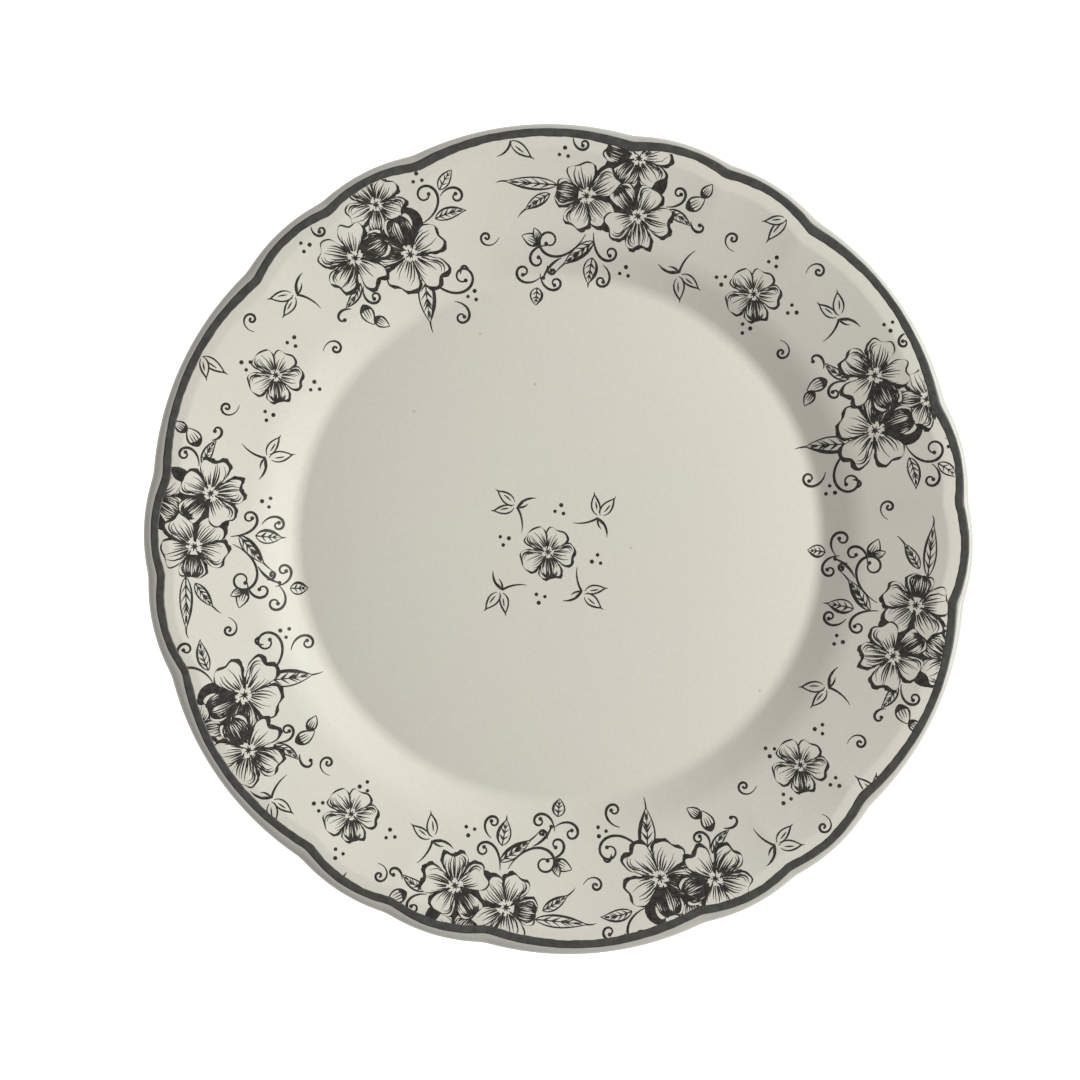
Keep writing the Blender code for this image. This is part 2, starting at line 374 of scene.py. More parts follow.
def turned_plate(glaze, biscuit, lip_shade_glaze):
    """The whole plate as one closed surface: a point on the axis at each end, rings between."""
    glazed, bare, recess = section()
    crest = max(range(len(glazed)), key=lambda i: glazed[i][1])
    lip_end = crest + 2 * LIP_STEPS
    path = glazed + bare + recess
    rings = path[1:-1]
    angles = np.arange(AROUND) * math.tau / AROUND
    vertices = [(0.0, 0.0, path[0][1])]
    for r, z in rings:
        placed = scalloped(np.full(AROUND, r), angles)
        vertices += zip(placed * np.cos(angles), placed * np.sin(angles), [z] * AROUND)
    vertices.append((0.0, 0.0, path[-1][1]))
    last = len(vertices) - 1
    faces = []
    slots = []
    bare_from = len(glazed) - 1
    bare_to = bare_from + len(bare)
    for k in range(AROUND):
        after = (k + 1) % AROUND
        faces.append((0, 1 + k, 1 + after))
        slots.append(GLAZED)
        for i in range(len(rings) - 1):
            a, b = 1 + i * AROUND, 1 + (i + 1) * AROUND
            faces.append((a + k, b + k, b + after, a + after))
            if bare_from <= i + 1 < bare_to:
                slots.append(BARE_TIP)
            # The lip's faces, from the crest round to the underside, take the darker glaze: painted
            # shade on the rounded edge.
            elif crest <= i + 1 < lip_end:
                slots.append(PAINTED_SHADE_LIP)
            else:
                slots.append(GLAZED)
        tail = 1 + (len(rings) - 1) * AROUND
        faces.append((tail + k, last, tail + after))
        slots.append(GLAZED)
    return new_piece("glazed_china", vertices, faces, [glaze, biscuit, lip_shade_glaze], slots)


def wobble(waves, angles):
    return sum(size * np.sin(count * angles + phase) for count, size, phase in waves)


def painted_line(ink):
    """The dark line on the rim, with a brush's unsteady edges. Its underside lies in the china."""
    radii, heights = face_height()
    around = 2 * AROUND
    angles = np.arange(around) * math.tau / around
    inner = wobble(INNER_WOBBLE, angles)
    outer = LINE_WIDTH + wobble(OUTER_WOBBLE, angles)
    shift = (LINE_SHIFT * polar(VIEW_TURN, 1.0) * np.exp(-1j * angles)).real
    tops = []
    for i in range(LINE_SPANS + 1):
        share = i / LINE_SPANS
        plain = LINE_INNER + LINE_OUTWARD + inner * (1 - share) + outer * share
        plain = plain + shift
        placed = scalloped(plain, angles)
        height = np.interp(plain, radii, heights)
        tops.append((placed * np.cos(angles), placed * np.sin(angles), height))
    lower = [(x, y, z - INK_DEPTH) for x, y, z in tops[::-1]]
    upper = [(x, y, z + LINE_RISE) for x, y, z in tops]
    loops = upper + lower
    vertices = [point for x, y, z in loops for point in zip(x, y, z)]
    faces = []
    for i in range(len(loops)):
        a, b = i * around, (i + 1) % len(loops) * around
        for k in range(around):
            after = (k + 1) % around
            faces.append((a + k, b + k, b + after, a + after))
    return new_piece("painted_rim_line", vertices, faces, [ink])


# ---------------------------------------------------------------- the pen


def polar(degrees, length):
    turn = math.radians(degrees)
    return complex(length * math.cos(turn), length * math.sin(turn))


def sideways(points):
    """The unit normal, to the left of travel, at each point of an open line."""
    found = []
    for i in range(len(points)):
        along = points[min(i + 1, len(points) - 1)] - points[max(i - 1, 0)]
        found.append(1j * along / (abs(along) or 1.0))
    return found


class Drawing:
    """Outlines in millimetres, painted back to front: ink, or bare china that hides what it covers."""

    def __init__(self, seed=0):
        self.outlines = []
        self.inked = []
        self.chance = random.Random(seed)

    def ink(self, outline):
        self.outlines.append(outline)
        self.inked.append(True)

    def bare(self, outline):
        self.outlines.append(outline)
        self.inked.append(False)

    def stroke(self, points, widths):
        """A pen line. The widths are given at equal steps of the line and blended between."""
        last = len(points) - 1
        half = np.interp(np.linspace(0, 1, last + 1), np.linspace(0, 1, len(widths)), widths) / 2
        left = sideways(points)
        for i in range(last):
            a, b = left[i] * half[i], left[i + 1] * half[i + 1]
            self.ink([points[i] + a, points[i] - a, points[i + 1] - b, points[i + 1] + b])

    def dot(self, centre, radius, sides=10):
        self.ink([centre + polar(360 * k / sides, radius) for k in range(sides)])

    def add(self, other, place, turn=0.0):
        spin = polar(turn, 1.0)
        for outline, inked in zip(other.outlines, other.inked):
            self.outlines.append([place + p * spin for p in outline])
            self.inked.append(inked)


def dots(art, centre, turn=0.0, spread=1.65, radius=0.72):
    """Three dots, one a little larger."""
    for k, size in enumerate((1.0, 0.84, 0.88)):
        art.dot(centre + polar(turn + 120 * k, spread), radius * size)


TENDRIL_LINE = 0.95
TENDRIL_BULB = 0.68
TENDRIL_STEP = 0.42


def tendril(art, start, heading, length, bend, curl):
    """A line that leaves with one bend and winds up tighter to a bulb. Bends are degrees in all."""
    steps = max(18, int(length / TENDRIL_STEP))
    points = [start]
    for k in range(steps):
        t = (k + 0.5) / steps
        turned = heading + bend * t + curl * t**3
        points.append(points[-1] + polar(turned, length / steps))
    art.stroke(points, [TENDRIL_LINE * share for share in (0.25, 0.8, 1.0, 0.8, 0.55)])
    art.dot(points[-1], TENDRIL_BULB, 8)


def leaf_sides(base, heading, length, width, bend):
    """The midrib and both edges of a leaf whose midrib turns by bend degrees."""
    steps = 12
    middle = [base]
    for k in range(steps):
        middle.append(middle[-1] + polar(heading + bend * (k + 0.5) / steps, length / steps))
    across = sideways(middle)
    half = [width / 2 * math.sin(math.pi * (k / steps) ** 0.8) ** 0.9 for k in range(steps)] + [0.02]
    left = [m + n * h for m, n, h in zip(middle, across, half)]
    right = [m - n * h for m, n, h in zip(middle, across, half)]
    return middle, left, right


LEAF_LINE = 0.48


def leaf(art, base, heading, length, width, bend, dark, tail):
    """A veined leaf. dark from 0 to 1 thickens one edge and the veins; tail draws out its tip."""
    line = LEAF_LINE
    middle, left, right = leaf_sides(base, heading, length, width, bend)
    art.bare(left + right[::-1])
    art.stroke(left, [line * 0.6, line + dark * 0.7, line + dark * 0.9, line * 0.5])
    art.stroke(right, [line * 0.6, line * 1.1, line, line * 0.5])
    art.stroke(middle[:-1], [line, line * 0.8, line * 0.3])
    veins = 5 if length > 9 else 3
    for k in range(1, veins + 1):
        t = 1 + int(k / (veins + 1) * (len(middle) - 3))
        for edge, weight in ((left, 1.0 + dark), (right, 0.8 + 0.5 * dark)):
            reach = 0.75 + 0.15 * art.chance.random()
            tip = middle[t + 2] * (1 - reach) + edge[t + 2] * reach
            widths = [line * weight, line * 0.7 * weight, 0.08]
            art.stroke([middle[t], (middle[t] + tip) / 2, tip], widths)
    if tail:
        turned = heading + bend
        line_out = [middle[-1] - polar(turned, 0.4)]
        swing = (bend or 20) * 2.4
        for k in range(8):
            line_out.append(line_out[-1] + polar(turned + swing * (k / 8) ** 2, tail / 8))
        art.stroke(line_out, [line * 1.3, line, line * 0.3])


PLAIN_LEAF_LINE = 0.52


def plain_leaf(art, base, heading, length, width, bend):
    """A small leaf: two edges, a drawn-out tip and one short line within."""
    line = PLAIN_LEAF_LINE
    middle, left, right = leaf_sides(base, heading, length, width, bend)
    art.bare(left + right[::-1])
    art.stroke(left, [line * 0.5, line * 1.1, line, line * 0.8])
    art.stroke(right[1:], [line * 0.4, line, line * 1.3, line * 0.9])
    tip = polar(heading + bend, length * 0.16)
    art.stroke([middle[-2], middle[-1], middle[-1] + tip], [line * 1.2, line * 1.1, 0.1])
    inner = [m * 0.82 + r * 0.18 for m, r in zip(middle[3:9], right[3:9])]
    art.stroke(inner, [line * 0.4, line * 1.1, line * 0.5])


BUD_LINE = 0.50
BUD_BEND = 12


def bud(art, base, heading, length, width):
    """A closed bud: pointed petals that leave a dark calyx."""
    line = BUD_LINE
    middle, left, right = leaf_sides(base, heading, length, width, BUD_BEND)
    art.bare(left + right[::-1])
    art.stroke(left, [line, line * 1.4, line * 0.5])
    art.stroke(right, [line, line * 1.2, line * 0.5])
    for share in (-0.45, 0.0, 0.4):
        edge = left if share > 0 else right
        line_in = [m * (1 - abs(share)) + e * abs(share) for m, e in zip(middle, edge)]
        art.stroke(line_in[2:9], [line * 0.9, line * 0.7, 0.08])
    art.ink([base, right[1], right[4], middle[3], left[4], left[1]])


# A sprig's stem and the side view of its third leaf: direction from the sprig's heading, bend,
# length, widths.
SPRIG_LINES = (
    (165, -43, 8.6, (0.80, 0.66, 0.50, 0.15)),
    (-80, -65, 7.4, (0.35, 0.85, 0.75, 0.12)),
    (-150, 60, 4.0, (0.40, 0.70, 0.55, 0.14)),
    (-112, 20, 2.6, (0.40, 0.40, 0.12)),
)


def bowed(start, heading, bend, length):
    """Points of a line that turns evenly by bend degrees."""
    points = [start]
    for k in range(9):
        points.append(points[-1] + polar(heading + bend * (k + 0.5) / 9, length / 9))
    return points


def sprig(art, joint, heading, size=1.0):
    """A bowed stem with three leaves: two whole, and one that is seen from its side."""
    for direction, bend, length, widths in SPRIG_LINES:
        points = bowed(joint, heading + direction, bend, length * size)
        art.stroke(points, [width * size for width in widths])
    plain_leaf(art, joint + polar(heading, 1.1 * size), heading, 7.0 * size, 3.2 * size, 6)
    heading += 55
    plain_leaf(art, joint + polar(heading, 1.0 * size), heading, 6.6 * size, 2.7 * size, -8)


def curl(art, centre, bearing):
    """A loose spiral that stands alone, its tail at this bearing. It winds in clockwise."""
    points = []
    for k in range(29):
        outward = 1 - k / 28
        distance = 0.35 + 2.0 * outward + 1.8 * outward**7
        points.append(centre + polar(bearing - 500 * (1 - outward), distance))
    art.stroke(points, [0.20, 0.72, 0.86, 0.76, 0.60])
    art.dot(points[-1], 0.46, 8)


# ---------------------------------------------------------------- flowers


PETAL_STEPS = 40
PETAL_LINE = 0.60
PETAL_BASE = 0.08  # a petal starts this share of its length out from the flower's middle
PETAL_TAPER = 0.40  # how much narrower it is towards there
PETAL_FULLNESS = 1.14
PETAL_WAVES = 0.035  # share of the petal's size
CLEFT_WIDTH = 0.34  # radians about the petal's tip
DARK_TONE = 0.75  # petals darker than this are hatched from the edge too
LIGHT_FROM = 135.0  # petals are drawn with their thick outlines away from here
PETAL_FOLDS = (0, 1, -1, 0, 1)  # the side of each petal on which its edge is rolled over


def petal_outline(length, width, cleft, phase):
    """A petal along +x from the flower's middle: heart-shaped, with a wavy outer edge."""
    outline = []
    for k in range(PETAL_STEPS):
        turn = math.tau * k / PETAL_STEPS - math.pi
        outer = (1 + math.cos(turn)) / 2
        reach = outer - cleft * math.exp(-((turn / CLEFT_WIDTH) ** 2))
        reach += PETAL_WAVES * outer**2 * math.sin(6 * turn + phase)
        half = math.sin(turn) * (1 - PETAL_TAPER + PETAL_TAPER * math.cos(turn))
        half *= 1 + PETAL_WAVES * outer * math.cos(5 * turn + phase)
        along = length * (PETAL_BASE + (1 - PETAL_BASE) * reach)
        outline.append(complex(along, width / 2 * PETAL_FULLNESS * half))
    return outline


def petal(art, middle, turn, length, width, shade, tone, fold):
    """One petal. shade thickens the outline away from the light, and tone fills it with hatching."""
    spin = polar(turn, 1.0)
    cleft = 0.05 + 0.10 * art.chance.random()
    outline = petal_outline(length, width, cleft, math.tau * art.chance.random())
    placed = [middle + p * spin for p in outline]
    count = len(placed)
    grown = []
    shrunk = []
    away = -polar(LIGHT_FROM, 1.0)
    for k in range(count):
        along = placed[(k + 1) % count] - placed[k - 1]
        out = -1j * along / abs(along)
        facing = max(0.0, (out * away.conjugate()).real)
        heavy = shade * facing**1.3 * (0.8 + 0.3 * math.sin(1.9 * k + turn))
        broken = min(1.0, 0.75 + facing + 0.6 * math.sin(0.7 * k + 2 * turn))
        outer = math.sin(math.pi * k / count)  # 0 at the petal's base
        grown.append(placed[k] + out * outer * (PETAL_LINE * broken / 2 + heavy))
        shrunk.append(placed[k] - out * outer * PETAL_LINE * broken / 2)
    art.ink(grown)
    art.bare(shrunk)
    hatch(art, middle, spin, length, width, tone)
    if fold:
        folded_edge(art, middle, spin, length, width, fold)


def hatch(art, middle, spin, length, width, tone):
    """Bold lines that run out from the flower's middle, and in from the edge of a dark petal."""
    chance = art.chance
    lines = int(7 + 5 * tone)
    spans = [(0.17, 0.34 + 0.34 * tone)]
    if tone > DARK_TONE:
        spans.append((0.90, -0.28))
    for first, reach in spans:
        for k in range(lines):
            across = -0.80 + 1.60 * (k + 0.25 + 0.5 * chance.random()) / lines
            start = first + 0.08 * chance.random()
            far = start + reach * (0.5 + 0.8 * chance.random()) * (1.15 - 0.3 * abs(across))
            points = []
            for s in range(4):
                u = min(start + (far - start) * s / 3, 0.93)
                half = width / 2 * 0.90 * math.sin(math.pi * u**1.35) ** 0.75
                points.append(middle + complex(length * u, across * half) * spin)
            thick = length * (0.029 + 0.027 * tone) * (0.7 + 0.6 * chance.random())
            art.stroke(points, [thick * 0.8, thick * 1.1, thick * 0.7, 0.08])


def folded_edge(art, middle, spin, length, width, side):
    """A petal's rolled edge: two bowed lines within one side of it."""
    for depth, thick in ((0.80, 0.58), (0.64, 0.36)):
        points = []
        for s in range(9):
            turn = side * math.radians(18 + 100 * s / 8)
            half = math.sin(turn) * (0.56 + 0.44 * math.cos(turn))
            x = length * (0.10 + 0.90 * (0.5 + 0.5 * math.cos(turn) * depth))
            points.append(middle + complex(x, width / 2 * 1.13 * half * depth) * spin)
        art.stroke(points, [0.08, thick, thick * 1.1, 0.08])


def flower_middle(art, middle, radius):
    """The eye of a flower: a bare star, short strokes and a dark heart."""
    star = []
    for k in range(10):
        reach = radius * ((1.20, 0.72)[k % 2] + 0.25 * art.chance.random())
        star.append(middle + polar(36 * k + 12 * art.chance.random(), reach))
    art.bare(star)
    for k in range(7):
        turn = 51.4 * k + 14 * art.chance.random()
        near = middle + polar(turn, radius * 0.10)
        far = middle + polar(turn, radius * (0.70 + 0.3 * art.chance.random()))
        art.stroke([near, far], [0.58, 0.26])
    art.dot(middle + polar(300, radius * 0.12), radius * 0.42, 7)


def flower(art, middle, radius, turn, shade, tones, squash, lean, ground):
    """Five petals over a dark ground. squash shortens the petals along the direction lean, which
    tilts the flower, and ground is how far out the gaps between petals are filled in."""
    petals = len(tones)
    art.dot(middle, radius * ground, 20)
    # Every other petal is drawn before its neighbours, so that they overlap in turn.
    for k in sorted(range(petals), key=lambda k: (k * 2) % petals):
        heading = turn + 360 * k / petals + 9 * (art.chance.random() - 0.5)
        tilt = abs(math.cos(math.radians(heading - lean)))
        length = radius * (1 - (1 - squash) * tilt) * (0.92 + 0.14 * art.chance.random())
        width = radius * 0.97 * (0.92 + 0.16 * art.chance.random())
        petal(art, middle, heading, length, width, shade, tones[k], PETAL_FOLDS[k])
    flower_middle(art, middle, radius * 0.14)


# ---------------------------------------------------------------- the print's motifs

# Each bouquet is in millimetres and degrees about its own middle. Tendrils: start, heading,
# length, bend, curl. Leaves: base, heading, length, width, bend, dark, tail. Buds: base, heading,
# length, width. Dots: place, turn. Flowers: middle, radius, turn, tones, squash, lean. Hollows,
# the dark ground between flowers: middle, radius.
BOUQUET_A = {
    "seed": 4,
    "tendrils": (
        (13 - 10j, -58, 33, 100, 360),
        (22.5 - 19.5j, -5, 17, -150, -290),
        (11.5 + 5j, 24, 27, 130, 310),
        (18 + 14j, 62, 15.5, -150, -260),
        (-11 - 22.4j, 172, 8.5, 90, 150),
        (-7 - 15j, -102, 15, 150, 290),
        (-23.8 + 4j, -86, 10.5, 160, 240),
        (24.6 - 10.8j, 100, 4.6, -60, -150),
    ),
    "leaves": (
        (13 - 11.5j, -88, 15, 5.0, 8, 0.9, 4.0),
        (17.8 + 16j, 66, 7.6, 3.5, -16, 0.1, 0),
        (16.4 + 6.8j, 28, 10.2, 3.6, -24, 0.3, 0.8),
        (-8 - 14j, -104, 9.4, 2.8, -34, 0.2, 0),
    ),
    "buds": ((-7.2 - 21j, -66, 7.2, 4.0), (-3.6 - 25j, -34, 5.6, 3.2)),
    "dots": ((28.5 - 17.6j, 70), (10.6 + 19.6j, 100), (-25.8 - 2.4j, 20)),
    "flowers": (
        (-2.8 + 11.2j, 10.8, 62, (0.7, 0.5, 0.4, 0.8, 0.6), 0.86, 90),
        (8.2 - 4.6j, 13.0, 40, (0.35, 1.0, 0.9, 0.3, 0.15), 1.0, 0),
        (-9.6 - 5.9j, 11.8, 100, (0.35, 0.55, 0.6, 0.2, 1.0), 1.0, 0),
    ),
    "hollows": (
        (-1 + 1.5j, 8.2),
        (2.5 + 4.5j, 6.5),
        (7 + 5j, 5.5),
        (0.6 - 7.6j, 5.4),
        (-6 + 16.5j, 3.4),
        (-2 + 18.5j, 2.8),
    ),
}
BOUQUET_B = {
    "seed": 9,
    "tendrils": (
        (-8 - 12.5j, -118, 33, -110, -360),
        (-20.6 - 16.2j, 176, 14.8, 130, 220),
        (-15.8 - 20j, 202, 9, 50, 0),
        (-22.6 - 26j, 226, 17.5, -150, -270),
        (-22.8 - 25j, -88, 16.5, 130, 300),
        (-20.4 - 22.4j, -104, 6.4, 120, 230),
        (-5.4 - 12j, -92, 21, 60, 380),
        (-2.3 - 22.3j, -36, 15.4, -150, -290),
        (18 - 3.9j, -8, 16.4, 110, 320),
        (26.2 - 8.6j, -92, 8.6, 110, 180),
        (-12 + 18.6j, -96, 12.6, 150, 270),
    ),
    "leaves": (
        (-17.2 + 3.2j, 176, 17, 3.8, 0, 0.35, 3.6),
        (-19.6 + 0.4j, 206, 9.5, 3.2, 12, 0.4, 4.0),
        (-5.2 - 14.8j, 212, 12.2, 3.5, 8, 0.9, 4.5),
        (-5.8 - 20j, -102, 8.4, 4.2, 6, 0.7, 1.8),
        (-23.8 - 29.6j, -98, 5.8, 3.8, 8, 0.5, 0),
        (18 - 5.3j, -14, 9.4, 3.0, -34, 0.2, 0),
    ),
    "buds": (
        (24.6 - 4.4j, 22, 7.0, 4.4),
        (29.6 - 1.0j, 44, 5.4, 3.2),
        (-22.8 - 15.6j, 150, 6.6, 3.8),
        (-23.2 - 14.8j, 104, 4.6, 2.4),
    ),
    "dots": ((4.8 - 24.6j, 75), (-15 + 13.4j, 80)),
    "flowers": (
        (9.2 + 11.6j, 12.2, 20, (0.5, 0.8, 1.0, 0.9, 0.6), 0.85, 90),
        (-7.8 - 0.3j, 11.6, 98, (0.5, 0.95, 0.4, 0.5, 0.5), 1.0, 0),
        (9.0 - 6.8j, 11.4, 128, (0.9, 0.3, 0.55, 0.5, 0.4), 1.0, 0),
    ),
    "hollows": ((2 + 2j, 8.5), (4.6 + 6.8j, 7.0), (13 + 4j, 5.6), (0.4 - 6.6j, 5.6)),
}
BOUQUET_SHADE = 1.25
BOUQUET_GROUND = 0.46


def bouquet(plan):
    art = Drawing(plan["seed"])
    for tendril_plan in plan["tendrils"]:
        tendril(art, *tendril_plan)
    for leaf_plan in plan["leaves"]:
        leaf(art, *leaf_plan)
    for bud_plan in plan["buds"]:
        bud(art, *bud_plan)
    for place, turn in plan["dots"]:
        dots(art, place, turn)
    for place, radius in plan["hollows"]:
        art.dot(place, radius, 20)
    for middle, radius, turn, tones, squash, lean in plan["flowers"]:
        flower(art, middle, radius, turn, BOUQUET_SHADE, tones, squash, lean, BOUQUET_GROUND)
    return art


def blossom():
    """The single flower that stands upright in the middle and four times on the border."""
    art = Drawing(7)
    tones = (0.45, 0.5, 0.25, 0.9, 0.35)
    flower(art, 0j, radius=9.4, turn=62, shade=0.62, tones=tones, squash=0.92, lean=90, ground=0.32)
    return art


# The border repeats four times about the print's middle, but its transfers were laid on by hand:
# how far each is turned from the first quarter's, and then shifted.
QUARTERS = (
    {
        "bouquet_a": (0.0, 0j),
        "bouquet_b": (0.0, 0j),
        "gap": (0.0, 0j),
        "blossom": (0.0, 0j),
        "curl": (0.0, 0j),
    },
    {
        "bouquet_a": (90.3, -2.0 - 1.2j),
        "bouquet_b": (94.6, 1.6 - 1.4j),
        "gap": (86.0, -0.6 - 4.2j),
        "blossom": (86.0, -0.4 - 0.8j),
        "curl": (92.4, -2.2 - 1.0j),
    },
    {
        "bouquet_a": (175.1, -5.5j),
        "bouquet_b": (178.4, 2.1 + 0j),
        "gap": (172.0, 4.5 - 1.0j),
        "blossom": (172.0, 2.4 + 0j),
        "curl": (176.8, 1.2 - 5.0j),
    },
    {
        "bouquet_a": (-93.3, 7.1 + 0.3j),
        "bouquet_b": (-92.4, 4.2 + 0j),
        "gap": (-95.4, 3.6 + 2.3j),
        "blossom": (-95.4, 1.4 + 1.2j),
        "curl": (-92.8, 7.5 - 0.4j),
    },
)
BOUQUET_A_AT = polar(117.6, 114.5)
BOUQUET_B_AT = polar(80.1, 117.8)
BLOSSOM_AT = polar(147.0, 105.6)
# Sprigs: angle, distance, heading. Curls: angle, distance, tail's bearing. Dots: angle, distance,
# turn. Fork: where two leaves meet, and each leaf's heading, length, width, bend.
GAP_SPRIGS = ((134.3, 116.8, 187), (161.6, 97.0, 5))
GAP_CURLS = ((141.9, 122.3, -76), (136.2, 95.9, 193), (155.8, 114.4, 12))
GAP_DOTS = (
    (140.6, 107.6, 68),
    (148.2, 115.4, 152),
    (144.7, 93.2, 95),
    (154.0, 101.3, 8),
)
GAP_FORK = polar(150.5, 128.7)
GAP_FORK_LEAVES = ((-39, 8.7, 3.2, 6), (-77, 6.9, 2.8, -6))
BOUQUET_CURL = (101.1, 104.4, 0)
RIM_LEAF = polar(95.2, 133.8)


def gap():
    """The small motifs between one pair of bouquets."""
    art = Drawing()
    for angle, distance, heading in GAP_SPRIGS:
        sprig(art, polar(angle, distance), heading, 1.05)
    for angle, distance, bearing in GAP_CURLS:
        curl(art, polar(angle, distance), bearing)
    for angle, distance, turn in GAP_DOTS:
        dots(art, polar(angle, distance), turn)
    for heading, length, width, bend in GAP_FORK_LEAVES:
        plain_leaf(art, GAP_FORK, heading, length, width, bend)
    return art


def rim_leaf():
    """One leaf and a bowed stem that hang from the painted line, in the first quarter only."""
    art = Drawing()
    plain_leaf(art, RIM_LEAF, -41, 8.4, 3.2, 6)
    points = [RIM_LEAF]
    for k in range(9):
        points.append(points[-1] + polar(-100 - 8 * k, 0.8))
    art.stroke(points, [0.7, 0.8, 0.6, 0.12])
    return art


def border(laid):
    """A quarter of the border, with its transfers laid as they are in QUARTERS."""
    art = Drawing()
    turn, shift = laid["gap"]
    art.add(gap(), shift, turn)
    turn, shift = laid["blossom"]
    art.add(blossom(), BLOSSOM_AT * polar(turn, 1.0) + shift)
    turn, shift = laid["curl"]
    angle, distance, bearing = BOUQUET_CURL
    curl(art, polar(angle + turn, distance) + shift, bearing + turn)
    turn, shift = laid["bouquet_b"]
    art.add(bouquet(BOUQUET_B), BOUQUET_B_AT * polar(turn, 1.0) + shift, turn)
    turn, shift = laid["bouquet_a"]
    art.add(bouquet(BOUQUET_A), BOUQUET_A_AT * polar(turn, 1.0) + shift, turn)
    return art


CENTRE_SPRIGS = (
    (-10.1 + 14.6j, 137),
    (16.3 + 11.1j, 47),
    (11.1 - 13.0j, -43),
    (-15.0 - 12.4j, 227),
)
CENTRE_DOTS = ((-14.3 + 3.9j, 20), (3.9 + 13.7j, 75), (15.9 - 2.6j, 200), (-2.6 - 15.0j, 255))


def centre():
    """The motifs in the middle of the well: one blossom, with sprigs and dots about it."""
    art = Drawing()
    art.add(blossom(), 0j)
    for joint, heading in CENTRE_SPRIGS:
        sprig(art, joint, heading)
    for place, turn in CENTRE_DOTS:
        dots(art, place, turn)
    return art


# ---------------------------------------------------------------- from drawing to china


def divided(outline):
    """The outline, anticlockwise from its farthest corner, with its long edges divided."""
    area = sum((a.conjugate() * b).imag for a, b in zip(outline, outline[1:] + outline[:1]))
    if area < 0:
        outline = outline[::-1]
    middle = sum(outline) / len(outline)
    start = max(range(len(outline)), key=lambda k: abs(outline[k] - middle))
    outline = outline[start:] + outline[:start]
    points = []
    for a, b in zip(outline, outline[1:] + outline[:1]):
        count = max(1, math.ceil(abs(b - a) / INK_SPAN))
        points += [a + (b - a) * k / count for k in range(count)]
    return points


def inked_triangles(art):
    """The drawing flattened: each triangle belongs to the outline painted last over it."""
    corners = []
    faces = []
    for outline in art.outlines:
        points = divided(outline)
        faces.append(list(range(len(corners), len(corners) + len(points))))
        corners += points
    low_x = min(p.real for p in corners)
    low_y = min(p.imag for p in corners)
    high_x = max(p.real for p in corners)
    high_y = max(p.imag for p in corners)
    for i in range(int((high_x - low_x) / INK_GRID) + 1):
        for j in range(int((high_y - low_y) / INK_GRID) + 1):
            corners.append(complex(low_x + (i + 0.5 * (j % 2)) * INK_GRID, low_y + j * INK_GRID))
    flat = [Vector((p.real, p.imag)) for p in corners]
    points, _, triangles, _, _, owners = delaunay_2d_cdt(flat, [], faces, 1, 1e-4, True)
    kept = [t for t, owner in zip(triangles, owners) if owner and art.inked[max(owner)]]
    return np.array([p[:] for p in points]), np.array(kept)


def ink_piece(name, art, ink):
    """The drawing's ink as a closed film on the plate, cut off under the painted line."""
    flat, triangles = inked_triangles(art)
    turn = polar(VIEW_TURN, 1.0)
    placed = (flat[:, 0] + 1j * flat[:, 1] + PRINT_SHIFT) * turn * MM
    angle = np.angle(placed)
    plain = unscalloped(np.abs(placed), angle)
    radii, heights = face_height()
    height = np.interp(plain, radii, heights)
    middle_of_line = (LINE_INNER + LINE_OUTER) / 2
    triangles = triangles[(plain[triangles] < middle_of_line).all(axis=1)]
    used, inverse = np.unique(triangles, return_inverse=True)
    triangles = inverse.reshape(-1, 3)
    x, y, z = placed.real[used], placed.imag[used], height[used]
    count = len(used)
    ends = np.concatenate([triangles[:, [0, 1]], triangles[:, [1, 2]], triangles[:, [2, 0]]])
    keys = set(map(tuple, ends.tolist()))
    rim = [(a, b) for a, b in keys if (b, a) not in keys]
    rim.sort()
    vertices = list(zip(x, y, z + INK_RISE)) + list(zip(x, y, z - INK_DEPTH))
    faces = [tuple(t) for t in triangles.tolist()]
    faces += [(c + count, b + count, a + count) for a, b, c in triangles.tolist()]
    faces += [(b, a, a + count, b + count) for a, b in rim]
    piece = new_piece(name, vertices, faces, [ink])
    piece.data.shade_flat()
    return piece


# ---------------------------------------------------------------- materials


def node_material(name):
    made = bpy.data.materials.new(name)
    made.use_nodes = True
    nodes = made.node_tree.nodes
    return made, nodes, made.node_tree.links, nodes["Principled BSDF"]


def noise(nodes, links, scale, detail=2.0, roughness=0.5):
    """Noise in object space, scale in waves a metre."""
    place = nodes.new("ShaderNodeTexCoord")
    texture = nodes.new("ShaderNodeTexNoise")
    texture.inputs["Scale"].default_value = scale
    texture.inputs["Detail"].default_value = detail
    texture.inputs["Roughness"].default_value = roughness
    links.new(place.outputs["Object"], texture.inputs["Vector"])
    return texture.outputs["Fac"]


def ramp(nodes, links, source, stops):
    """A colour ramp: stops are (position, linear colour)."""
    node = nodes.new("ShaderNodeValToRGB")
    elements = node.color_ramp.elements
    while len(elements) < len(stops):
        elements.new(0.5)
    for element, (position, colour) in zip(elements, stops):
        element.position = position
        element.color = (*colour, 1.0)
    links.new(source, node.inputs["Fac"])
    return node.outputs["Color"]


def greys(nodes, links, source, low, high):
    """A ramp between two greys, each (position, value)."""
    return ramp(nodes, links, source, [(position, (value,) * 3) for position, value in (low, high)])


def glossy(nodes, links, shader, smoothest, roughest):
    """Under glaze: roughness that drifts between two values, and a thin clear coat."""
    wet = greys(nodes, links, noise(nodes, links, 160.0), (0.3, smoothest), (0.7, roughest))
    links.new(wet, shader.inputs["Roughness"])
    shader.inputs["Specular IOR Level"].default_value = 0.2
    shader.inputs["Coat Weight"].default_value = 0.15
    shader.inputs["Coat Roughness"].default_value = 0.10


